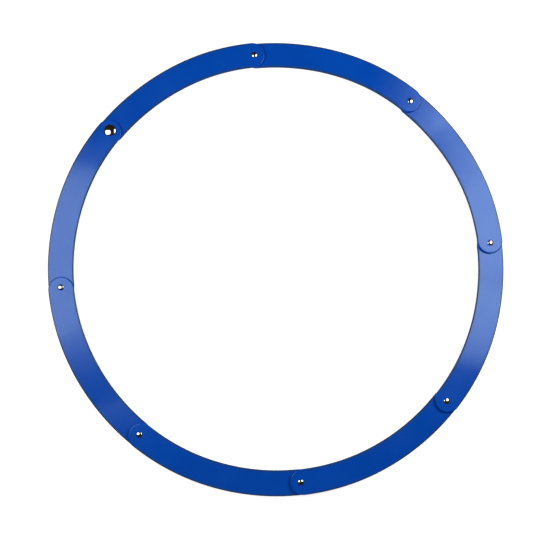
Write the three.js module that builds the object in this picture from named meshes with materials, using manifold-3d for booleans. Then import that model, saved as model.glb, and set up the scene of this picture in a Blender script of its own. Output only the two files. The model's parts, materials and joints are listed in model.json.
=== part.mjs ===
// Folding juggling ring: a chain of curved plastic links on rivets, closed into a ring by one press stud.
// Millimetres, +Z up. The origin is the ring's centre, on the surface that the ring lies on.

import Module from "manifold-3d";
import * as THREE from "three";
import { mergeVertices } from "three/addons/utils/BufferGeometryUtils.js";

// The ring
const LINK_COUNT = 8;
const OUTER_RADIUS = 192.5;
const BAND_WIDTH = 21.4;
const CLOSURE_ANGLE = THREE.MathUtils.degToRad(135); // anticlockwise from +X

// A link. Its clockwise end lies over the next link's anticlockwise end, so its middle steps down.
const LINK_THICKNESS = 3;
const LAYER_GAP = 0.3; // running clearance between two link ends
const TIP_REACH = 8.9; // from a pivot to the tip beyond it
const STEP_HALF_LENGTH = 39;
const STEP_SEGMENTS = 14;
const ARC_DIVISIONS = 10; // half the segments of each arc in an outline

// Clearances
const SEAT_GAP = 0.1; // between faces that are clamped together
const BORE_GAP = 0.3; // round a shank, post or stud

// A rivet: a domed cap with a post, set into a base with a tubular shank
const RIVET_RADIUS = 2.5;
const RIVET_HEIGHT = 1.2;
const RIVET_RIM = 0.65;
const SHANK_RADIUS = 1.5;
const POST_RADIUS = 0.9;
const BASE_FLOOR = 1.6;
const FOOT_RADIUS = 1.6; // flat land that the ring lies on
const TURNED_SEGMENTS = 32;

// The press stud: cap, socket and spring on the upper link, stud and eyelet on the lower link
const CAP_RADIUS = 5;
const CAP_HEIGHT = 2.1;
const CAP_RIM = 1;
const BARREL_RADIUS = 1.2;
const DISC_RADIUS = 4.6; // of the socket and of the stud's base
const SOCKET_HEIGHT = 2;
const SOCKET_PLATE = 0.4;
const SOCKET_LIP = 0.3;
const SPRING_GROOVE = 0.7;
const SPRING_GROOVE_RADIUS = 2.95;
const SOCKET_MOUTH = 2.2; // clears the stud's head, and is too small for the spring to fall through
const SPRING_RADIUS = 2.05; // of the wire's centreline, so that the stud's head has to spread it
const SPRING_WIRE_RADIUS = 0.25;
const SPRING_ARC = THREE.MathUtils.degToRad(310);
const SPRING_STEPS = 20;
const SPRING_SIDES = 8;
const STUD_BASE = 0.8;
const STUD_RADIUS = 2;
const STUD_NECK = 1.55;
const STUD_WALL = 0.5;
const EYELET_RADIUS = 4.5;
const EYELET_TUBE = 1;
const EYELET_HOLE = 0.6;

// Levels and pitches that follow
const FOOT_HEIGHT = RIVET_HEIGHT + SEAT_GAP;
const LOWER_TOP = FOOT_HEIGHT + LINK_THICKNESS;
const UPPER_BOTTOM = LOWER_TOP + LAYER_GAP;
const UPPER_TOP = UPPER_BOTTOM + LINK_THICKNESS;
const CAP_SEAT = UPPER_TOP + SEAT_GAP;
const INNER_RADIUS = OUTER_RADIUS - BAND_WIDTH;
const PIVOT_RADIUS = OUTER_RADIUS - BAND_WIDTH / 2;
const LINK_ANGLE = (2 * Math.PI) / LINK_COUNT;
const SOCKET_POCKET = SOCKET_HEIGHT + 2 * SEAT_GAP;
const STUD_POCKET = STUD_BASE + 2 * SEAT_GAP;
const SOCKET_BOTTOM = UPPER_BOTTOM + SEAT_GAP;
const SOCKET_TOP = SOCKET_BOTTOM + SOCKET_HEIGHT;
const SOCKET_CEILING = SOCKET_TOP - SOCKET_PLATE;
const STUD_BOTTOM = LOWER_TOP - SEAT_GAP - STUD_BASE;
const STUD_TOP = SOCKET_CEILING - BORE_GAP;

const linkPlastic = new THREE.MeshStandardMaterial({ color: 0x0a47ad, roughness: 0.42, metalness: 0 });
const rivetSteel = new THREE.MeshStandardMaterial({ color: 0xc9ccd0, roughness: 0.12, metalness: 1 });
const closureSteel = new THREE.MeshStandardMaterial({ color: 0xb9bbbf, roughness: 0.15, metalness: 1 });

const wasm = await Module();
wasm.setup();

// A closed three.js geometry as a solid.
function solidOf(geometry) {
  geometry.deleteAttribute("normal");
  geometry.deleteAttribute("uv");
  const merged = mergeVertices(geometry, 1e-3);
  const mesh = new wasm.Mesh({
    numProp: 3,
    vertProperties: merged.attributes.position.array,
    triVerts: new Uint32Array(merged.index.array),
  });
  return new wasm.Manifold(mesh);
}

// A solid back as a three.js geometry with flat faces.
function geometryOf(solid) {
  const mesh = solid.getMesh();
  const indexed = new THREE.BufferGeometry();
  indexed.setAttribute("position", new THREE.BufferAttribute(mesh.vertProperties, 3));
  indexed.setIndex(new THREE.BufferAttribute(mesh.triVerts, 1));
  const geometry = indexed.toNonIndexed();
  geometry.computeVertexNormals();
  return geometry;
}

function named(name, geometry, material) {
  const mesh = new THREE.Mesh(geometry, material);
  mesh.name = name;
  return mesh;
}

// The band between two arcs, with a round end just past each pivot. The link's middle is on +X.
function linkOutline() {
  const endRadius = BAND_WIDTH / 2;
  const endAngle = LINK_ANGLE / 2 - (endRadius - TIP_REACH) / PIVOT_RADIUS;
  const endX = PIVOT_RADIUS * Math.cos(endAngle);
  const endY = PIVOT_RADIUS * Math.sin(endAngle);
  const outline = new THREE.Shape();
  outline.absarc(0, 0, OUTER_RADIUS, -endAngle, endAngle, false);
  outline.absarc(endX, endY, endRadius, endAngle, endAngle + Math.PI, false);
  outline.absarc(0, 0, INNER_RADIUS, endAngle, -endAngle, true);
  outline.absarc(endX, -endY, endRadius, Math.PI - endAngle, 2 * Math.PI - endAngle, false);
  return outline;
}

// The link seen from the side: high at its clockwise end, low at the other, and an S between them.
function sideProfile() {
  const rise = UPPER_BOTTOM - FOOT_HEIGHT;
  const reach = OUTER_RADIUS;
  const under = [new THREE.Vector2(-reach, UPPER_BOTTOM)];
  for (let i = 0; i <= STEP_SEGMENTS; i++) {
    const share = (2 * i) / STEP_SEGMENTS - 1;
    const risen = 0.5 - 0.625 * (share - share ** 5 / 5);
    under.push(new THREE.Vector2(STEP_HALF_LENGTH * share, FOOT_HEIGHT + rise * risen));
  }
  under.push(new THREE.Vector2(reach, FOOT_HEIGHT));
  const over = under.map((point) => new THREE.Vector2(point.x, point.y + LINK_THICKNESS));
  return new THREE.Shape([...under, ...over.reverse()]);
}

// The whole ribbon that a link is cut from: the side profile runs along Y and Z, and is extruded along X.
function ribbon() {
  const geometry = new THREE.ExtrudeGeometry(sideProfile(), { depth: OUTER_RADIUS, bevelEnabled: false });
  const alongY = new THREE.Vector3(0, 1, 0);
  const alongZ = new THREE.Vector3(0, 0, 1);
  const alongX = new THREE.Vector3(1, 0, 0);
  geometry.applyMatrix4(new THREE.Matrix4().makeBasis(alongY, alongZ, alongX));
  return solidOf(geometry);
}

// A round cutter on a link's pivot, at the clockwise end (-1) or the anticlockwise end (+1).
function pivotCutter(radius, bottom, top, end) {
  const geometry = new THREE.CylinderGeometry(radius, radius, top - bottom, TURNED_SEGMENTS);
  geometry.rotateX(Math.PI / 2);
  const angle = (end * LINK_ANGLE) / 2;
  const x = PIVOT_RADIUS * Math.cos(angle);
  const y = PIVOT_RADIUS * Math.sin(angle);
  geometry.translate(x, y, (top + bottom) / 2);
  return solidOf(geometry);
}

// The blank that every link starts from, with no holes.
function linkBlank() {
  const outline = new THREE.ExtrudeGeometry(linkOutline(), {
    depth: UPPER_TOP + LINK_THICKNESS,
    bevelEnabled: false,
    curveSegments: ARC_DIVISIONS,
  });
  return solidOf(outline).intersect(ribbon());
}

const clearThrough = [-LINK_THICKNESS, UPPER_TOP + LINK_THICKNESS];

function rivetHole(end) {
  return pivotCutter(SHANK_RADIUS + BORE_GAP, ...clearThrough, end);
}

// The upper link's end takes the cap's barrel from above and the socket in a pocket from below.
function socketSeat() {
  const barrelHole = pivotCutter(BARREL_RADIUS + BORE_GAP, ...clearThrough, -1);
  const pocketTop = UPPER_BOTTOM + SOCKET_POCKET;
  const pocket = pivotCutter(DISC_RADIUS + BORE_GAP, 0, pocketTop, -1);
  return barrelHole.add(pocket);
}

// The lower link's end takes the eyelet's tube from below and the stud in a pocket from above.
function studSeat() {
  const tubeHole = pivotCutter(EYELET_TUBE + BORE_GAP, ...clearThrough, 1);
  const pocketBottom = LOWER_TOP - STUD_POCKET;
  const pocket = pivotCutter(DISC_RADIUS + BORE_GAP, pocketBottom, UPPER_TOP, 1);
  return tubeHole.add(pocket);
}

function links() {
  const blank = linkBlank();
  const group = new THREE.Group();
  for (let k = 1; k <= LINK_COUNT; k++) {
    const clockwiseCut = k === 1 ? socketSeat() : rivetHole(-1);
    const anticlockwiseCut = k === LINK_COUNT ? studSeat() : rivetHole(1);
    const solid = blank.subtract(clockwiseCut).subtract(anticlockwiseCut);
    const link = named(`link_${k}`, geometryOf(solid), linkPlastic);
    link.rotation.z = CLOSURE_ANGLE + (k - 0.5) * LINK_ANGLE;
    group.add(link);
  }
  return group;
}

// A turned part, from a profile of [radius, height] points that runs anticlockwise as seen with +Z up.
function turned(name, profile, material) {
  const points = profile.map(([radius, height]) => new THREE.Vector2(radius, height));
  const geometry = new THREE.LatheGeometry(points, TURNED_SEGMENTS);
  geometry.rotateX(Math.PI / 2);
  return named(name, geometry, material);
}

// The points of a dome from its rim up to the axis: a circle's arc of the given base radius and height.
function dome(radius, height, level, steps) {
  const sphere = (radius * radius + height * height) / (2 * height);
  const rimAngle = Math.asin(radius / sphere);
  const points = [];
  for (let i = 0; i <= steps; i++) {
    const angle = rimAngle * (1 - i / steps);
    const drop = sphere * (1 - Math.cos(angle));
    points.push([sphere * Math.sin(angle), level + height - drop]);
  }
  return points;
}

function atPivot(k, ...meshes) {
  const group = new THREE.Group();
  const angle = CLOSURE_ANGLE + k * LINK_ANGLE;
  group.position.set(PIVOT_RADIUS * Math.cos(angle), PIVOT_RADIUS * Math.sin(angle), 0);
  group.rotation.z = angle;
  group.add(...meshes);
  return group;
}

// The rivet's lower half: a flat-footed cap with a tubular shank up through both links.
function rivetBase(k) {
  const shankTop = UPPER_TOP - SEAT_GAP;
  const bore = POST_RADIUS + BORE_GAP;
  const profile = [
    [0, 0],
    [FOOT_RADIUS, 0],
    [RIVET_RADIUS - 0.3, 0.35],
    [RIVET_RADIUS, 0.75],
    [RIVET_RADIUS, RIVET_HEIGHT],
    [SHANK_RADIUS, RIVET_HEIGHT],
    [SHANK_RADIUS, shankTop],
    [bore, shankTop],
    [bore, BASE_FLOOR],
    [0, BASE_FLOOR],
  ];
  return turned(`rivet_${k}_base`, profile, rivetSteel);
}

// The rivet's upper half: a domed cap whose post is set in the shank.
function rivetCap(k) {
  const profile = [
    [0, BASE_FLOOR + BORE_GAP],
    [POST_RADIUS, BASE_FLOOR + BORE_GAP],
    [POST_RADIUS, CAP_SEAT],
    [RIVET_RADIUS, CAP_SEAT],
    ...dome(RIVET_RADIUS, RIVET_HEIGHT - RIVET_RIM, CAP_SEAT + RIVET_RIM, 5),
  ];
  return turned(`rivet_${k}_cap`, profile, rivetSteel);
}

// The press stud's visible dome, with the barrel that holds the socket.
function closureCap() {
  const barrelEnd = SOCKET_CEILING + SEAT_GAP;
  const profile = [
    [0, barrelEnd],
    [BARREL_RADIUS, barrelEnd],
    [BARREL_RADIUS, CAP_SEAT],
    [CAP_RADIUS, CAP_SEAT],
    ...dome(CAP_RADIUS, CAP_HEIGHT - CAP_RIM, CAP_SEAT + CAP_RIM, 8),
  ];
  return turned("closure_cap", profile, closureSteel);
}

// A cup that opens downwards, in the pocket under the upper link, with a groove for the spring.
function closureSocket() {
  const hole = BARREL_RADIUS + BORE_GAP;
  const grooveBottom = SOCKET_BOTTOM + SOCKET_LIP;
  const grooveTop = grooveBottom + SPRING_GROOVE;
  const profile = [
    [SOCKET_MOUTH, SOCKET_BOTTOM],
    [DISC_RADIUS, SOCKET_BOTTOM],
    [DISC_RADIUS, SOCKET_TOP],
    [hole, SOCKET_TOP],
    [hole, SOCKET_CEILING],
    [SOCKET_MOUTH, SOCKET_CEILING],
    [SOCKET_MOUTH, grooveTop],
    [SPRING_GROOVE_RADIUS, grooveTop],
    [SPRING_GROOVE_RADIUS, grooveBottom],
    [SOCKET_MOUTH, grooveBottom],
    [SOCKET_MOUTH, SOCKET_BOTTOM],
  ];
  return turned("closure_socket", profile, closureSteel);
}

// An open ring of wire in the socket's groove. It grips the stud under its head.
function closureSpring() {
  class OpenRing extends THREE.Curve {
    getPoint(share) {
      const angle = SPRING_ARC * (share - 0.5);
      return new THREE.Vector3(SPRING_RADIUS * Math.cos(angle), SPRING_RADIUS * Math.sin(angle), 0);
    }
  }
  const wire = new THREE.Shape();
  for (let i = 0; i < SPRING_SIDES; i++) {
    const angle = (2 * Math.PI * i) / SPRING_SIDES;
    const x = SPRING_WIRE_RADIUS * Math.cos(angle);
    const y = SPRING_WIRE_RADIUS * Math.sin(angle);
    if (i === 0) wire.moveTo(x, y);
    else wire.lineTo(x, y);
  }
  const options = { steps: SPRING_STEPS, bevelEnabled: false, extrudePath: new OpenRing() };
  const geometry = new THREE.ExtrudeGeometry(wire, options);
  geometry.translate(0, 0, SOCKET_BOTTOM + SOCKET_LIP + SPRING_GROOVE / 2);
  return named("closure_spring", geometry, closureSteel);
}

// A hollow stud on a disc, in the pocket on top of the lower link. Its head stands up into the socket.
function closureStud() {
  const discTop = STUD_BOTTOM + STUD_BASE;
  const bore = EYELET_TUBE + BORE_GAP;
  const profile = [
    [bore, STUD_BOTTOM],
    [DISC_RADIUS, STUD_BOTTOM],
    [DISC_RADIUS, discTop],
    [STUD_NECK, discTop],
    [STUD_NECK, STUD_TOP - 0.4],
    [STUD_RADIUS, STUD_TOP - 0.2],
    [STUD_RADIUS, STUD_TOP - 0.1],
    [STUD_NECK, STUD_TOP],
    [0, STUD_TOP],
    [0, STUD_TOP - STUD_WALL],
    [bore, STUD_TOP - STUD_WALL],
    [bore, STUD_BOTTOM],
  ];
  return turned("closure_stud", profile, closureSteel);
}

// A flanged tube from below that holds the stud. Its flange is level with the rivets' feet.
function closureEyelet() {
  const tubeTop = STUD_TOP - STUD_WALL - BORE_GAP;
  const profile = [
    [EYELET_HOLE + 0.5, 0],
    [EYELET_RADIUS - 0.8, 0],
    [EYELET_RADIUS, 0.7],
    [EYELET_RADIUS, RIVET_HEIGHT],
    [EYELET_TUBE, RIVET_HEIGHT],
    [EYELET_TUBE, tubeTop],
    [EYELET_HOLE, tubeTop],
    [EYELET_HOLE, 0.5],
    [EYELET_HOLE + 0.5, 0],
  ];
  return turned("closure_eyelet", profile, closureSteel);
}

const ring = new THREE.Group();
ring.add(links());
for (let k = 1; k < LINK_COUNT; k++) {
  ring.add(atPivot(k, rivetBase(k), rivetCap(k)));
}
ring.add(atPivot(0, closureCap(), closureSocket(), closureSpring(), closureStud(), closureEyelet()));

export default ring;
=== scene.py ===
"""The looks of the folding juggling ring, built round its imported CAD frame. Metres, +Z up.

Every link, rivet half and press-stud piece is a finely rounded mesh that stands for its CAD node.
"""

import json
import math

import bmesh
import bpy
from mathutils import Euler, Matrix, Vector, geometry


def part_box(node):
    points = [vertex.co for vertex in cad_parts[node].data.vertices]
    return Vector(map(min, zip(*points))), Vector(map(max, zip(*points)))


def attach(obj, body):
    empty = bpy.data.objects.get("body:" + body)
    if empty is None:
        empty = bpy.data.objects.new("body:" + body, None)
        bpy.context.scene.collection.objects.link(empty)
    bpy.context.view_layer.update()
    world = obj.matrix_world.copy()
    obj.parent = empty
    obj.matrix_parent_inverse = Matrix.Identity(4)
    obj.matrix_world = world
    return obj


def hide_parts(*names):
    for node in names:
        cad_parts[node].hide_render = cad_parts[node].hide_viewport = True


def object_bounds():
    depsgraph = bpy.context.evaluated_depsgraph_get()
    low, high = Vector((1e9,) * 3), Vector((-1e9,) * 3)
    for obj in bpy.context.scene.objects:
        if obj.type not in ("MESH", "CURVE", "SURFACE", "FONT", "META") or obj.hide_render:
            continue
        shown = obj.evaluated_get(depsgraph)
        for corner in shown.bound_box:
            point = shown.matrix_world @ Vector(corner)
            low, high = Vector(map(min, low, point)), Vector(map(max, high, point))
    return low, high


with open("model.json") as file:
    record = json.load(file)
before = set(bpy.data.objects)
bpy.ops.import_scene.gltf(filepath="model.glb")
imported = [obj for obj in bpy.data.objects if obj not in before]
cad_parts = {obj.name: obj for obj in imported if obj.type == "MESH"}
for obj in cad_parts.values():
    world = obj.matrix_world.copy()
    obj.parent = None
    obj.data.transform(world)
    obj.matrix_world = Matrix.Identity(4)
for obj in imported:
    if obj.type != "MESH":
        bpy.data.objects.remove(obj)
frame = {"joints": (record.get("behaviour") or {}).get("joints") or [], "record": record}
cad_low, cad_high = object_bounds()

# The ring, read from the frame
BODIES = frame["record"]["behaviour"]["bodies"]
BODY_OF = {node: body for body, nodes in BODIES.items() for node in nodes}
PIVOTS = {joint["name"]: Vector(joint["pos_m"]) for joint in frame["joints"]}
LINK_COUNT = len(PIVOTS) + 1
LINK_ANGLE = 2 * math.pi / LINK_COUNT
OPPOSITE = PIVOTS[f"pivot_{LINK_COUNT // 2}"]
CLOSURE_ANGLE = math.atan2(-OPPOSITE.y, -OPPOSITE.x)
PIVOT_RADIUS = math.hypot(OPPOSITE.x, OPPOSITE.y)
OUTER_RADIUS = (cad_high.x - cad_low.x) / 2
HALF_BAND = OUTER_RADIUS - PIVOT_RADIUS
INNER_RADIUS = PIVOT_RADIUS - HALF_BAND
LOW_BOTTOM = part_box("link_2")[0].z
HIGH_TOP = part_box("link_2")[1].z

# The link, as the CAD part draws it
THICKNESS = 0.003
TIP_REACH = 0.0089
STEP_HALF_LENGTH = 0.039
RISE = HIGH_TOP - LOW_BOTTOM - THICKNESS
HIGH_BOTTOM = HIGH_TOP - THICKNESS
END_ANGLE = LINK_ANGLE / 2 - (HALF_BAND - TIP_REACH) / PIVOT_RADIUS

# Clearances and turned sizes, as the CAD part draws them
SEAT_GAP = 0.0001
BORE_GAP = 0.0003
CAP_SEAT = HIGH_TOP + SEAT_GAP
SHANK_RADIUS = 0.0015
POST_RADIUS = 0.0009
FOOT_RADIUS = 0.0016
FOOT_RIM = 0.00045
FOOT_FLARE = 0.0003
FOOT_FLARE_DROP = 0.00085
RIVET_RIM = 0.00065
BARREL_RADIUS = 0.0012
CLOSURE_RIM = 0.001
SOCKET_PLATE = 0.0004
SOCKET_LIP = 0.0003
SOCKET_MOUTH = 0.0022
SPRING_GROOVE = 0.0007
SPRING_GROOVE_RADIUS = 0.00295
SPRING_RADIUS = 0.00205
SPRING_ARC = math.radians(310)
STUD_BASE = 0.0008
STUD_RADIUS = 0.002
STUD_NECK = 0.00155
STUD_HEAD = 0.0004
STUD_CREST = 0.00015  # below the head's top, midway between the CAD part's two widest corners
STUD_WALL = 0.0005
EYELET_TUBE = 0.001
EYELET_HOLE = 0.0006
EYELET_ROLL = 0.0005
EYELET_RIM = 0.0005
EYELET_FLARE = 0.0008

# Fine shape
EDGE_ROUND = 0.0009
EDGE_STEPS = 6
FACE_INSET = EDGE_ROUND + 0.0001
BORE_CHAMFER = 0.00015
RIVET_SHOULDER = 0.00038
CLOSURE_SHOULDER = 0.0004
ARC_STEPS = 72
END_STEPS = 28
BORE_STEPS = 48
FACE_PITCH = 0.0032
TURNED_STEPS = 72
DOME_STEPS = 14
CORNER_STEPS = 4
MARGIN_SHARE = 1.3  # how far from a corner the flat beside its rounding is pinned, in roundings
WIRE_STEPS = 16
SPRING_STEPS = 60
SHARP_ANGLE = math.radians(40)
WELD = 1e-6

# Wear and the painted edge shade: how far they reach, and how deep the plastic's skin and the metal's
# scratches are
SKIN_DEPTH = 0.00002
SCRATCH_DEPTH = 0.0000005
RUBBED_RING = (0.0031, 0.004, 0.008, 0.0098)  # from a pivot: where it starts, is full, fades, and ends
EDGE_SHADE_REACH = (0.0003, 0.0026)  # from the outline: where the painted edge shade starts to fade, and ends
EDGE_SHADE_START = (0.0095, 0.0125)  # from a pivot: where the painted edge shade starts, and is full
WORN_EDGE = 0.0011  # from the outline to where the wear ends
DULL_RIM = (0.0002, 0.0009)  # from the outline: where the gloss starts to rise, and is full
GRIMY_RIM = 0.0005  # from a metal piece's rim to where the grime ends

# The photograph's viewpoint: a little off straight down, towards the picture's bottom left
CAMERA_DISTANCE = 1.0
CAMERA_LENS = 77.3
CAMERA_TILT = math.radians(5.6)
CAMERA_LEAN = math.radians(-1.8)
CAMERA_ROLL = math.radians(-6.15)
CAMERA_AIM = Vector((-0.0016, -0.0078, 0))  # from the ring's centre, along the picture's own axes

# The studio: two softboxes and a weak fill light in a dark room, over a bright floor
SOFTBOX_HEIGHT = 0.5
SIDE_FADE = 0.2  # the share of a light's width over which it fades in from each side
END_FADE = 0.36  # the same along its length
SOFTBOXES = {
    "softbox_right": {"place": Vector((0.32, 0.1)), "size": (0.36, 0.52), "power": 3.9},
    "softbox_left": {"place": Vector((-0.34, -0.02)), "size": (0.46, 0.4), "power": 2.75},
}
FILL_REACH = 0.4
FILL_SIZE = (0.7, 0.4)
FILL_POWER = 0.8
FLOOR_HALF = 4.0
FLOOR_GLOW = 0.85
ROOM_GLOW = 0.02
BACKDROP = 0.93


# --- Mesh code ---


def radius_of(node):
    """The radius of a round CAD node."""
    low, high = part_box(node)
    return (high.x - low.x) / 2


def axis_of(node):
    """Where a round CAD node's upright axis stands."""
    low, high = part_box(node)
    return ((low + high) / 2).xy


def polar(radius, angle):
    return Vector((radius * math.cos(angle), radius * math.sin(angle)))


def arc(centre, radius, start, end, steps):
    """The points of an arc, without its last one."""
    return [centre + polar(radius, start + (end - start) * i / steps) for i in range(steps)]


def bridge(mesh, loops):
    """Strips of faces from each closed loop of vertices to the next. A loop of one vertex is a point."""
    for lower, upper in zip(loops, loops[1:]):
        count = max(len(lower), len(upper))
        for i in range(count if count > 1 else 0):
            corners = (
                lower[i % len(lower)],
                lower[(i + 1) % len(lower)],
                upper[(i + 1) % len(upper)],
                upper[i % len(upper)],
            )
            mesh.faces.new(list(dict.fromkeys(corners)))


def store_depth(mesh, depth_of):
    """Keep, at every vertex, how far inside its piece's outline it lies. The materials read it."""
    depth = mesh.verts.layers.float.new("depth")
    for vert in mesh.verts:
        vert[depth] = max(depth_of(vert.co.xy), 0)


def finished_mesh(mesh, name):
    """Weld, face outwards, mark the hard edges, and hand over to Blender."""
    bmesh.ops.remove_doubles(mesh, verts=mesh.verts, dist=WELD)
    bmesh.ops.recalc_face_normals(mesh, faces=mesh.faces)
    for face in mesh.faces:
        face.smooth = True
    for edge in mesh.edges:
        edge.smooth = edge.calc_face_angle(0) < SHARP_ANGLE
    data = bpy.data.meshes.new(name)
    mesh.to_mesh(data)
    mesh.free()
    return data


# --- The links ---


def outline(inset):
    """A link's outline, drawn in by inset and anticlockwise. The link's middle is on +X."""
    middle = Vector((0, 0))
    end_radius = HALF_BAND - inset
    ahead = polar(PIVOT_RADIUS, END_ANGLE)
    behind = polar(PIVOT_RADIUS, -END_ANGLE)
    return [
        *arc(middle, OUTER_RADIUS - inset, -END_ANGLE, END_ANGLE, ARC_STEPS),
        *arc(ahead, end_radius, END_ANGLE, END_ANGLE + math.pi, END_STEPS),
        *arc(middle, INNER_RADIUS + inset, END_ANGLE, -END_ANGLE, ARC_STEPS),
        *arc(behind, end_radius, math.pi - END_ANGLE, 2 * math.pi - END_ANGLE, END_STEPS),
    ]


def depth_in(point):
    """How far inside a link's outline a point is."""
    radius = point.length
    angle = math.atan2(point.y, point.x)
    if abs(angle) < END_ANGLE:
        return min(OUTER_RADIUS - radius, radius - INNER_RADIUS)
    end = polar(PIVOT_RADIUS, math.copysign(END_ANGLE, angle))
    return HALF_BAND - (point - end).length


def lift(along):
    """The height of a link's underside: high at its clockwise end, low at the other, and an S between."""
    share = min(max(along / STEP_HALF_LENGTH, -1), 1)
    fall = 5 / 8 * (share - share**5 / 5)  # from -1/2 to 1/2, and level at both ends
    return LOW_BOTTOM + RISE * (0.5 - fall)


def on_link(point, height):
    return Vector((point.x, point.y, lift(point.y) + height))


def rim_section():
    """[inset, height] points round a link's rounded edge, from its top face to its underside."""
    top = [(FACE_INSET, THICKNESS)]
    for i in range(EDGE_STEPS + 1):
        angle = math.pi / 2 * i / EDGE_STEPS
        inset = EDGE_ROUND * (1 - math.sin(angle))
        top.append((inset, THICKNESS - EDGE_ROUND * (1 - math.cos(angle))))
    bottom = [(inset, THICKNESS - height) for inset, height in reversed(top)]
    return top + bottom


def bore_at(end):
    """Where a bore's axis crosses a link: its clockwise end is -1 and its anticlockwise end is +1."""
    return polar(PIVOT_RADIUS, end * LINK_ANGLE / 2)


def rivet_bore():
    """[radius, height] points down a bore, from the link's top face to its underside."""
    hole = SHANK_RADIUS + BORE_GAP
    return chamfered([(hole, THICKNESS), (hole, 0)])


def socket_bore():
    """A hole for the cap's barrel, over a pocket for the socket."""
    hole = BARREL_RADIUS + BORE_GAP
    pocket = radius_of("closure_socket") + BORE_GAP
    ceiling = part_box("closure_socket")[1].z + SEAT_GAP - HIGH_BOTTOM
    return chamfered([(hole, THICKNESS), (hole, ceiling), (pocket, ceiling), (pocket, 0)])


def stud_bore():
    """A pocket for the stud's disc, over a hole for the eyelet's tube."""
    hole = EYELET_TUBE + BORE_GAP
    pocket = radius_of("closure_stud") + BORE_GAP
    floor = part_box("closure_stud")[0].z - SEAT_GAP - LOW_BOTTOM
    return chamfered([(pocket, THICKNESS), (pocket, floor), (hole, floor), (hole, 0)])


def chamfered(section):
    """A bore's section with a small chamfer where it meets each face of the link."""
    top_radius = section[0][0]
    bottom_radius = section[-1][0]
    return [
        (top_radius + BORE_CHAMFER, THICKNESS),
        (top_radius, THICKNESS - BORE_CHAMFER),
        *section[1:-1],
        (bottom_radius, BORE_CHAMFER),
        (bottom_radius + BORE_CHAMFER, 0),
    ]


def face_points(holes):
    """Points spread over a link's face, clear of its edge and of the holes."""
    points = []
    rows = round((OUTER_RADIUS - INNER_RADIUS) / FACE_PITCH)
    columns = round(2 * END_ANGLE * PIVOT_RADIUS / FACE_PITCH)
    for row in range(rows + 1):
        radius = INNER_RADIUS + (OUTER_RADIUS - INNER_RADIUS) * row / rows
        for column in range(columns + 1):
            point = polar(radius, END_ANGLE * (2 * column / columns - 1))
            clear = all((point - centre).length > hole + FACE_PITCH / 2 for centre, hole in holes)
            if clear and depth_in(point) > FACE_INSET + FACE_PITCH / 2:
                points.append(point)
    return points


def add_face(mesh, height, holes):
    """A link's top face or underside as triangles, with round holes in it."""
    loops = [outline(FACE_INSET)]
    loops += [arc(centre, hole, 0, 2 * math.pi, BORE_STEPS) for centre, hole in holes]
    points = []
    edges = []
    for loop in loops:
        first = len(points)
        points += loop
        edges += [(first + i, first + (i + 1) % len(loop)) for i in range(len(loop))]
    points += face_points(holes)
    places, _, triangles, *_ = geometry.delaunay_2d_cdt(points, edges, [], 0, WELD)
    verts = [mesh.verts.new(on_link(place, height)) for place in places]
    for triangle in triangles:
        middle = sum((places[i] for i in triangle), Vector((0, 0))) / 3
        in_hole = any((middle - centre).length < hole for centre, hole in holes)
        if depth_in(middle) > FACE_INSET and not in_hole:
            mesh.faces.new([verts[i] for i in triangle])
    for vert in [v for v in verts if not v.link_faces]:
        mesh.verts.remove(vert)


def link_mesh(name, middle_angle, behind, ahead):
    """A whole link, with a bore's section for its clockwise end (behind) and for the other (ahead)."""
    mesh = bmesh.new()
    rim = [[mesh.verts.new(on_link(p, height)) for p in outline(inset)] for inset, height in rim_section()]
    bridge(mesh, rim)
    bores = [(bore_at(-1), behind), (bore_at(1), ahead)]
    for centre, section in bores:
        loops = []
        for radius, height in section:
            circle = arc(centre, radius, 0, 2 * math.pi, BORE_STEPS)
            loops.append([mesh.verts.new(on_link(p, height)) for p in circle])
        bridge(mesh, loops)
    add_face(mesh, THICKNESS, [(centre, section[0][0]) for centre, section in bores])
    add_face(mesh, 0, [(centre, section[-1][0]) for centre, section in bores])
    store_depth(mesh, depth_in)
    bmesh.ops.rotate(mesh, verts=mesh.verts, matrix=Matrix.Rotation(middle_angle, 3, "Z"))
    return finished_mesh(mesh, name)


# --- The turned pieces ---


def rounded(corners):
    """[radius, height] points of a profile from its [radius, height, rounding] corners."""
    points = []
    for i, (radius, height, reach) in enumerate(corners):
        corner = Vector((radius, height))
        if reach == 0:
            points.append(corner)
            continue
        before = (Vector(corners[i - 1][:2]) - corner).normalized() * reach
        after = (Vector(corners[(i + 1) % len(corners)][:2]) - corner).normalized() * reach
        points.append(corner + before * MARGIN_SHARE)
        for j in range(CORNER_STEPS + 1):
            share = j / CORNER_STEPS
            points.append(corner + before * (1 - share) ** 2 + after * share**2)
        points.append(corner + after * MARGIN_SHARE)
    return points


def dome(radius, height, level, shoulder):
    """The corners of a domed top, from its rounded shoulder up to the axis."""
    sphere = (radius**2 + height**2) / (2 * height)
    first = math.asin((radius - MARGIN_SHARE * shoulder) / sphere)
    corners = [(radius, level, shoulder)]
    for i in range(DOME_STEPS + 1):
        angle = first * (1 - i / DOME_STEPS)
        corners.append((sphere * math.sin(angle), level + height - sphere * (1 - math.cos(angle)), 0))
    return corners


def turned_mesh(name, axis, corners):
    """A profile turned about an upright axis. One that starts off the axis closes on itself."""
    mesh = bmesh.new()
    loops = []
    for radius, height in rounded(corners):
        ring = arc(axis, radius, 0, 2 * math.pi, TURNED_STEPS) if radius > 0 else [axis]
        loops.append([mesh.verts.new((p.x, p.y, height)) for p in ring])
    if corners[0][0] > 0:
        loops.append(loops[0])
    bridge(mesh, loops)
    widest = max(radius for radius, *_ in corners)
    store_depth(mesh, lambda point: widest - (point - axis).length)
    return finished_mesh(mesh, name)


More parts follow.
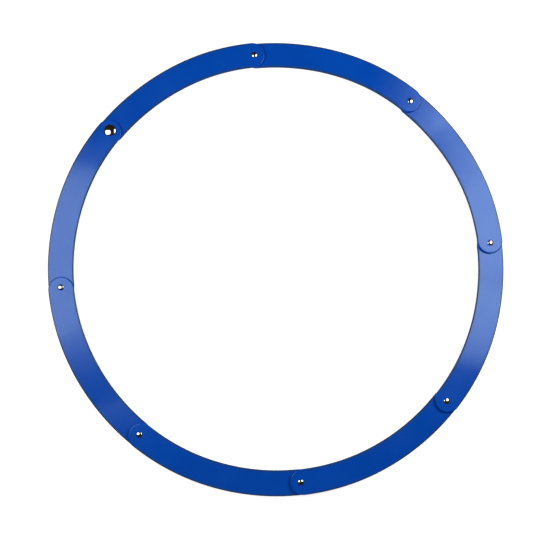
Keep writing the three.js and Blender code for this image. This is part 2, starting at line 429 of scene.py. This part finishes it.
def rivet_cap_mesh(name, node):
    """A domed cap on a post."""
    low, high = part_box(node)
    radius = radius_of(node)
    shoulder_level = CAP_SEAT + RIVET_RIM
    corners = [
        (0, low.z, 0),
        (POST_RADIUS, low.z, 0.0002),
        (POST_RADIUS, CAP_SEAT, 0.0001),
        (radius, CAP_SEAT, 0.0001),
        *dome(radius, high.z - shoulder_level, shoulder_level, RIVET_SHOULDER),
    ]
    return turned_mesh(name, axis_of(node), corners)


def rivet_base_mesh(name, node):
    """A flat-footed cap under the link, with a tubular shank for the post."""
    low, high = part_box(node)
    radius = radius_of(node)
    top = LOW_BOTTOM - SEAT_GAP
    bore = POST_RADIUS + BORE_GAP
    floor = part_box(node.replace("base", "cap"))[0].z - BORE_GAP
    corners = [
        (0, low.z, 0),
        (FOOT_RADIUS, low.z, 0.00025),
        (radius - FOOT_FLARE, top - FOOT_FLARE_DROP, 0.0002),
        (radius, top - FOOT_RIM, 0.00012),
        (radius, top, 0.0001),
        (SHANK_RADIUS, top, 0.0001),
        (SHANK_RADIUS, high.z, 0.00008),
        (bore, high.z, 0.00008),
        (bore, floor, 0.0001),
        (0, floor, 0),
    ]
    return turned_mesh(name, axis_of(node), corners)


def closure_cap_mesh(name, node):
    """The press stud's large domed cap, with the barrel that holds the socket."""
    low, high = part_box(node)
    radius = radius_of(node)
    shoulder_level = CAP_SEAT + CLOSURE_RIM
    corners = [
        (0, low.z, 0),
        (BARREL_RADIUS, low.z, 0.00015),
        (BARREL_RADIUS, CAP_SEAT, 0.0001),
        (radius, CAP_SEAT, 0.0001),
        *dome(radius, high.z - shoulder_level, shoulder_level, CLOSURE_SHOULDER),
    ]
    return turned_mesh(name, axis_of(node), corners)


def closure_socket_mesh(name, node):
    """A cup that opens downwards, with a groove for the spring."""
    low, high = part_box(node)
    radius = radius_of(node)
    hole = BARREL_RADIUS + BORE_GAP
    ceiling = high.z - SOCKET_PLATE
    groove_bottom = low.z + SOCKET_LIP
    groove_top = groove_bottom + SPRING_GROOVE
    corners = [
        (SOCKET_MOUTH, low.z, 0.0001),
        (radius, low.z, 0.00015),
        (radius, high.z, 0.0003),
        (hole, high.z, 0.0001),
        (hole, ceiling, 0.0001),
        (SOCKET_MOUTH, ceiling, 0.0001),
        (SOCKET_MOUTH, groove_top, 0.00008),
        (SPRING_GROOVE_RADIUS, groove_top, 0.00015),
        (SPRING_GROOVE_RADIUS, groove_bottom, 0.00015),
        (SOCKET_MOUTH, groove_bottom, 0.00008),
    ]
    return turned_mesh(name, axis_of(node), corners)


def closure_stud_mesh(name, node):
    """A hollow stud on a disc, with a head that the spring grips."""
    low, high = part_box(node)
    radius = radius_of(node)
    disc_top = low.z + STUD_BASE
    bore = EYELET_TUBE + BORE_GAP
    crown = high.z - STUD_WALL
    corners = [
        (bore, low.z, 0.00015),
        (radius, low.z, 0.0002),
        (radius, disc_top, 0.0003),
        (STUD_NECK, disc_top, 0.0002),
        (STUD_NECK, high.z - STUD_HEAD, 0.0001),
        (STUD_RADIUS, high.z - STUD_CREST, 0.00016),
        (STUD_NECK, high.z, 0.00018),
        (0, high.z, 0),
        (0, crown, 0),
        (bore, crown, 0.0001),
    ]
    return turned_mesh(name, axis_of(node), corners)


def closure_eyelet_mesh(name, node):
    """A flanged tube from below that holds the stud."""
    low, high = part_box(node)
    radius = radius_of(node)
    top = LOW_BOTTOM - SEAT_GAP
    corners = [
        (EYELET_HOLE + EYELET_ROLL, low.z, 0.0002),
        (radius - EYELET_FLARE, low.z, 0.0003),
        (radius, top - EYELET_RIM, 0.00025),
        (radius, top, 0.0001),
        (EYELET_TUBE, top, 0.00015),
        (EYELET_TUBE, high.z, 0.0001),
        (EYELET_HOLE, high.z, 0.0001),
        (EYELET_HOLE, low.z + EYELET_ROLL, 0.0002),
    ]
    return turned_mesh(name, axis_of(node), corners)


def closure_spring_mesh(name, node):
    """An open ring of wire."""
    low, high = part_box(node)
    axis = axis_of("closure_socket")
    wire = (high.z - low.z) / 2
    level = (high.z + low.z) / 2
    mesh = bmesh.new()
    loops = []
    for i in range(SPRING_STEPS + 1):
        share = i / SPRING_STEPS
        angle = CLOSURE_ANGLE + SPRING_ARC * (share - 0.5)
        loop = []
        for j in range(WIRE_STEPS):
            around = 2 * math.pi * j / WIRE_STEPS
            place = axis + polar(SPRING_RADIUS + wire * math.cos(around), angle)
            loop.append(mesh.verts.new((place.x, place.y, level + wire * math.sin(around))))
        loops.append(loop)
    bridge(mesh, loops)
    mesh.faces.new(loops[0])
    mesh.faces.new(loops[-1])
    store_depth(mesh, lambda _: wire)
    return finished_mesh(mesh, name)


# --- Materials ---


def add_node(tree, kind, inputs=None, **settings):
    """A shader node, with its inputs set to numbers or joined to other nodes' outputs."""
    made = tree.nodes.new(kind)
    for key, value in settings.items():
        setattr(made, key, value)
    for key, value in (inputs or {}).items():
        if isinstance(value, bpy.types.NodeSocket):
            tree.links.new(value, made.inputs[key])
        else:
            made.inputs[key].default_value = value
    return made


def math_node(tree, operation, *values):
    return add_node(tree, "ShaderNodeMath", dict(enumerate(values)), operation=operation).outputs[0]


def noise(tree, place, scale, detail=2.0, roughness=0.5):
    inputs = {"Vector": place, "Scale": scale, "Detail": detail, "Roughness": roughness}
    return add_node(tree, "ShaderNodeTexNoise", inputs).outputs["Fac"]


def ramp(tree, value, start, end, low=0.0, high=1.0):
    """A value that goes smoothly from low to high as another goes from start to end."""
    inputs = {"Value": value, "From Min": start, "From Max": end, "To Min": low, "To Max": high}
    node = add_node(tree, "ShaderNodeMapRange", inputs, interpolation_type="SMOOTHSTEP")
    return node.outputs["Result"]


def mix_colour(tree, share, first, second):
    inputs = {0: share, 6: first, 7: second}
    return add_node(tree, "ShaderNodeMix", inputs, data_type="RGBA").outputs[2]


def scratches(tree, place, turn, length, width, rarity):
    """Sparse fine streaks that run one way."""
    inputs = {
        "Vector": place,
        "Rotation": (0, 0, turn),
        "Scale": (1 / length, 1 / width, 1 / length),
    }
    streaks = add_node(tree, "ShaderNodeMapping", inputs).outputs["Vector"]
    return ramp(tree, noise(tree, streaks, 1.0, 1.0), rarity, rarity + 0.05)


def all_scratches(tree, place, length, width, rarity):
    """Scratches in three directions, broken up into patches."""
    total = 0.0
    for turn in (0.3, 1.45, 2.6):
        total = math_node(tree, "MAXIMUM", scratches(tree, place, turn, length, width, rarity), total)
    patches = ramp(tree, noise(tree, place, 0.5 / length), 0.42, 0.6)
    return math_node(tree, "MULTIPLY", total, patches)


def attribute(tree, name, kind="GEOMETRY"):
    return add_node(tree, "ShaderNodeAttribute", attribute_type=kind, attribute_name=name)


def new_material(name):
    """A material with an empty node tree, its tree, the surface shader and where the surface lies."""
    material = bpy.data.materials.new(name)
    material.use_nodes = True
    tree = material.node_tree
    tree.nodes.clear()
    shader = add_node(tree, "ShaderNodeBsdfPrincipled")
    add_node(tree, "ShaderNodeOutputMaterial", {"Surface": shader.outputs["BSDF"]})
    place = add_node(tree, "ShaderNodeTexCoord").outputs["Object"]
    return material, tree, shader, place


def join(tree, shader, **sockets):
    for key, value in sockets.items():
        tree.links.new(value, shader.inputs[key.replace("_", " ")])


def bump(tree, height, distance):
    return add_node(tree, "ShaderNodeBump", {"Height": height, "Distance": distance}).outputs["Normal"]


def pivot_distance(tree, place):
    """How far a point of a link is, in plan, from the nearer of its two pivots."""
    flat = add_node(tree, "ShaderNodeVectorMath", {0: place, 1: (1, 1, 0)}, operation="MULTIPLY")
    distances = []
    for end in ("pivot_behind", "pivot_ahead"):
        pivot = attribute(tree, end, "OBJECT").outputs["Vector"]
        inputs = {0: flat.outputs[0], 1: pivot}
        away = add_node(tree, "ShaderNodeVectorMath", inputs, operation="DISTANCE")
        distances.append(away.outputs["Value"])
    return math_node(tree, "MINIMUM", *distances)


def rubbed_rings(tree, away):
    """Faint rings round a pivot, where the next link's end has turned against the face."""
    spread = add_node(tree, "ShaderNodeCombineXYZ", {"X": away}).outputs[0]
    waves = ramp(tree, noise(tree, spread, 2600.0), 0.52, 0.66)
    inner = ramp(tree, away, *RUBBED_RING[:2])
    outer = ramp(tree, away, *RUBBED_RING[2:], 1.0, 0.0)
    return math_node(tree, "MULTIPLY", waves, math_node(tree, "MULTIPLY", inner, outer))


def weighted_sum(tree, *pairs):
    """The sum of values, each times its weight."""
    total = 0.0
    for value, weight in pairs:
        total = math_node(tree, "MULTIPLY_ADD", value, weight, total)
    return total


def link_plastic():
    """Moulded blue plastic with a satin skin: mottled, finely grained and rubbed along its edges, with
    painted shade that darkens its outline away from the pivots.
    Its score marks and rubbed rings are dents in the skin, paler and rougher than the rest."""
    material, tree, shader, place = new_material("link_plastic")
    shader.inputs["Specular Tint"].default_value = (0.62, 0.83, 1, 1)
    depth = attribute(tree, "depth").outputs["Fac"]
    mottle = ramp(tree, noise(tree, place, 22.0, 3.0, 0.6), 0.3, 0.7)
    speckle = ramp(tree, noise(tree, place, 900.0, 1.0), 0.35, 0.75, 0.0, 0.16)
    smudge = ramp(tree, noise(tree, place, 55.0, 4.0, 0.65), 0.3, 0.7, 0.14, 0.19)
    scores = all_scratches(tree, place, 0.012, 0.0003, 0.66)
    away = pivot_distance(tree, place)
    rings = rubbed_rings(tree, away)
    marks = weighted_sum(tree, (scores, 0.35), (rings, 0.3))
    # Painted shade: the base colour turns dark navy along the outline, away from the pivots, where the
    # rounded edge would fall into shade.
    painted_edge_shade = ramp(tree, depth, *EDGE_SHADE_REACH, 1.0, 0.0)
    painted_edge_shade = math_node(tree, "MULTIPLY", painted_edge_shade, ramp(tree, away, *EDGE_SHADE_START))
    rubbed = ramp(tree, noise(tree, place, 240.0, 3.0, 0.7), 0.42, 0.66)
    wear = math_node(tree, "MULTIPLY", ramp(tree, depth, 0.0, WORN_EDGE, 1.0, 0.0), rubbed)

    colour = mix_colour(tree, mottle, (0.0006, 0.075, 0.51, 1), (0.001, 0.083, 0.55, 1))
    colour = mix_colour(tree, speckle, colour, (0.0016, 0.1, 0.63, 1))
    colour = mix_colour(tree, math_node(tree, "MULTIPLY", marks, 0.2), colour, (0.03, 0.18, 0.8, 1))
    # Painted shade: mix in the dark navy colour along the outline.
    colour = mix_colour(tree, painted_edge_shade, colour, (0.016, 0.066, 0.23, 1))
    colour = mix_colour(tree, math_node(tree, "MULTIPLY", wear, 0.25), colour, (0.01, 0.15, 0.75, 1))
    grain = noise(tree, place, 2400.0)
    peel = noise(tree, place, 260.0)
    relief = weighted_sum(tree, (grain, 0.25), (peel, 0.8), (marks, -0.5))
    join(
        tree,
        shader,
        Base_Color=colour,
        Roughness=weighted_sum(tree, (smudge, 1.0), (marks, 0.14), (wear, 0.1)),
        Specular_IOR_Level=ramp(tree, depth, *DULL_RIM, 0.07, 0.5),
        Normal=bump(tree, relief, SKIN_DEPTH),
    )
    return material


def plated_steel(name, bright, dull, grime):
    """Polished nickel plate with hairline scratches, and grime gathered at the rim."""
    material, tree, shader, place = new_material(name)
    shader.inputs["Metallic"].default_value = 1.0
    cloud = noise(tree, place, 420.0, 3.0, 0.6)
    hairlines = all_scratches(tree, place, 0.003, 0.00004, 0.62)
    depth = attribute(tree, "depth").outputs["Fac"]
    at_rim = ramp(tree, depth, 0.0, GRIMY_RIM, 1.0, 0.0)
    dirt = math_node(tree, "MULTIPLY", at_rim, ramp(tree, noise(tree, place, 1500.0, 3.0), 0.4, 0.62))

    colour = mix_colour(tree, ramp(tree, cloud, 0.3, 0.7), bright, dull)
    colour = mix_colour(tree, math_node(tree, "MULTIPLY", dirt, 0.55), colour, grime)
    roughness = ramp(tree, cloud, 0.3, 0.7, 0.05, 0.1)
    roughness = math_node(tree, "ADD", roughness, math_node(tree, "MULTIPLY", hairlines, 0.12))
    roughness = math_node(tree, "ADD", roughness, math_node(tree, "MULTIPLY", dirt, 0.3))
    relief = math_node(tree, "SUBTRACT", math_node(tree, "MULTIPLY", cloud, 0.3), hairlines)
    join(tree, shader, Base_Color=colour, Roughness=roughness, Normal=bump(tree, relief, SCRATCH_DEPTH))
    return material


# --- The pieces ---


def add_piece(name, mesh, node, material):
    """A piece that rides on its CAD node's body, and stands for that node."""
    piece = bpy.data.objects.new(name, mesh)
    bpy.context.scene.collection.objects.link(piece)
    piece.data.materials.append(material)
    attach(piece, BODY_OF[node])
    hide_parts(node)
    return piece


def add_links():
    material = link_plastic()
    for k in range(1, LINK_COUNT + 1):
        behind = socket_bore() if k == 1 else rivet_bore()
        ahead = stud_bore() if k == LINK_COUNT else rivet_bore()
        middle_angle = CLOSURE_ANGLE + (k - 0.5) * LINK_ANGLE
        name = f"moulded_link_{k}"
        mesh = link_mesh(name, middle_angle, behind, ahead)
        piece = add_piece(name, mesh, f"link_{k}", material)
        piece["pivot_behind"] = [*polar(PIVOT_RADIUS, middle_angle - LINK_ANGLE / 2), 0.0]
        piece["pivot_ahead"] = [*polar(PIVOT_RADIUS, middle_angle + LINK_ANGLE / 2), 0.0]


def add_rivets():
    slot = "rivet_steel"
    material = plated_steel(slot, (0.82, 0.83, 0.84, 1), (0.7, 0.71, 0.72, 1), (0.12, 0.11, 0.1, 1))
    for k in range(1, LINK_COUNT):
        cap = f"rivet_{k}_cap"
        base = f"rivet_{k}_base"
        add_piece(f"domed_cap_{k}", rivet_cap_mesh(f"domed_cap_{k}", cap), cap, material)
        add_piece(f"foot_cap_{k}", rivet_base_mesh(f"foot_cap_{k}", base), base, material)


def add_closure():
    slot = "closure_steel"
    material = plated_steel(slot, (0.76, 0.75, 0.73, 1), (0.62, 0.61, 0.58, 1), (0.1, 0.09, 0.07, 1))
    makers = {
        "closure_cap": ("stud_cap", closure_cap_mesh),
        "closure_socket": ("stud_socket", closure_socket_mesh),
        "closure_spring": ("stud_spring", closure_spring_mesh),
        "closure_stud": ("stud_post", closure_stud_mesh),
        "closure_eyelet": ("stud_eyelet", closure_eyelet_mesh),
    }
    for node, (name, maker) in makers.items():
        add_piece(name, maker(name, node), node, material)


# --- The studio ---


def add_floor():
    """A wide pale floor, evenly bright like a light table."""
    material, tree, shader, place = new_material("floor_paper")
    tone = ramp(tree, noise(tree, place, 3.0), 0.3, 0.7, 0.54, 0.56)
    colour = add_node(tree, "ShaderNodeCombineColor", {"Red": tone, "Green": tone, "Blue": tone})
    seen = add_node(tree, "ShaderNodeLightPath").outputs["Is Camera Ray"]
    glow = math_node(tree, "MULTIPLY", seen, FLOOR_GLOW)
    join(tree, shader, Base_Color=colour.outputs[0], Emission_Strength=glow)
    shader.inputs["Roughness"].default_value = 0.9
    shader.inputs["Specular IOR Level"].default_value = 0.1
    shader.inputs["Emission Color"].default_value = (1, 1, 1, 1)
    mesh = bmesh.new()
    bmesh.ops.create_grid(mesh, x_segments=4, y_segments=4, size=FLOOR_HALF)
    data = bpy.data.meshes.new("floor")
    mesh.to_mesh(data)
    mesh.free()
    floor = bpy.data.objects.new("floor", data)
    floor.location.z = cad_low.z
    floor.data.materials.append(material)
    bpy.context.scene.collection.objects.link(floor)


def fade_edges(data):
    """Make an area light fade out smoothly towards its four edges, as a softbox's cloth does."""
    data.use_nodes = True
    tree = data.node_tree
    tree.nodes.clear()
    across = add_node(tree, "ShaderNodeTexCoord").outputs["UV"]
    parts = add_node(tree, "ShaderNodeSeparateXYZ", {"Vector": across})
    strength = 1.0
    for axis, fade in (("X", SIDE_FADE), ("Y", END_FADE)):
        rise = ramp(tree, parts.outputs[axis], 0.0, fade)
        fall = ramp(tree, parts.outputs[axis], 1 - fade, 1.0, 1.0, 0.0)
        strength = math_node(tree, "MULTIPLY", math_node(tree, "MULTIPLY", rise, fall), strength)
    cloth = add_node(tree, "ShaderNodeEmission", {"Strength": strength})
    add_node(tree, "ShaderNodeOutputLight", {"Surface": cloth.outputs[0]})


def camera_turn():
    return Euler((CAMERA_TILT, CAMERA_LEAN, CAMERA_ROLL)).to_matrix()


def camera_place():
    aim = Matrix.Rotation(CAMERA_ROLL, 3, "Z") @ CAMERA_AIM
    return aim + camera_turn() @ Vector((0, 0, CAMERA_DISTANCE))


def add_area_light(name, size, power, place, turn):
    """A soft-edged light that the camera doesn't see."""
    data = bpy.data.lights.new(name, "AREA")
    data.shape = "RECTANGLE"
    data.size, data.size_y = size
    data.energy = power
    fade_edges(data)
    light = bpy.data.objects.new(name, data)
    light.location = place
    light.rotation_euler = turn
    light.visible_camera = False
    bpy.context.scene.collection.objects.link(light)
    return light


def add_softbox(name, place, size, power):
    """A softbox that faces down at the ring. Its place is along the picture's own axes, from the spot at
    its height that a level face in the ring's middle would mirror into the camera."""
    camera = camera_place()
    mirrored = -camera.xy * SOFTBOX_HEIGHT / camera.z
    beside = Matrix.Rotation(CAMERA_ROLL, 2) @ place
    tip = math.copysign(math.atan2(place.length, SOFTBOX_HEIGHT), place.x)
    turn = Euler((0, tip, CAMERA_ROLL))
    add_area_light(name, size, power, (*(mirrored + beside), SOFTBOX_HEIGHT), turn)


def add_fill():
    """A weak light from the picture's lower side, which leaves no highlight on the metal or plastic."""
    place = (0, -FILL_REACH, SOFTBOX_HEIGHT)
    turn = Euler((math.atan2(FILL_REACH, SOFTBOX_HEIGHT), 0, 0))
    fill = add_area_light("fill", FILL_SIZE, FILL_POWER, place, turn)
    fill.visible_glossy = False


def add_world():
    """A dim, warm room, which the camera sees as a pale backdrop."""
    world = bpy.data.worlds.new("studio")
    world.use_nodes = True
    tree = world.node_tree
    tree.nodes.clear()
    seen = add_node(tree, "ShaderNodeLightPath").outputs["Is Camera Ray"]
    room = {"Color": (1, 0.9, 0.62, 1), "Strength": ROOM_GLOW}
    dark = add_node(tree, "ShaderNodeBackground", room).outputs[0]
    pale = add_node(tree, "ShaderNodeBackground", {"Color": (1, 1, 1, 1), "Strength": BACKDROP}).outputs[0]
    both = add_node(tree, "ShaderNodeMixShader", {0: seen, 1: dark, 2: pale})
    add_node(tree, "ShaderNodeOutputWorld", {"Surface": both.outputs[0]})
    bpy.context.scene.world = world


def add_camera():
    data = bpy.data.cameras.new("camera")
    data.lens = CAMERA_LENS
    camera = bpy.data.objects.new("camera", data)
    camera.location = camera_place()
    camera.rotation_euler = camera_turn().to_euler()
    bpy.context.scene.collection.objects.link(camera)
    bpy.context.scene.camera = camera


add_links()
add_rivets()
add_closure()
add_floor()
for name, settings in SOFTBOXES.items():
    add_softbox(name, **settings)
add_fill()
add_world()
add_camera()
bpy.context.scene.view_settings.view_transform = "Standard"
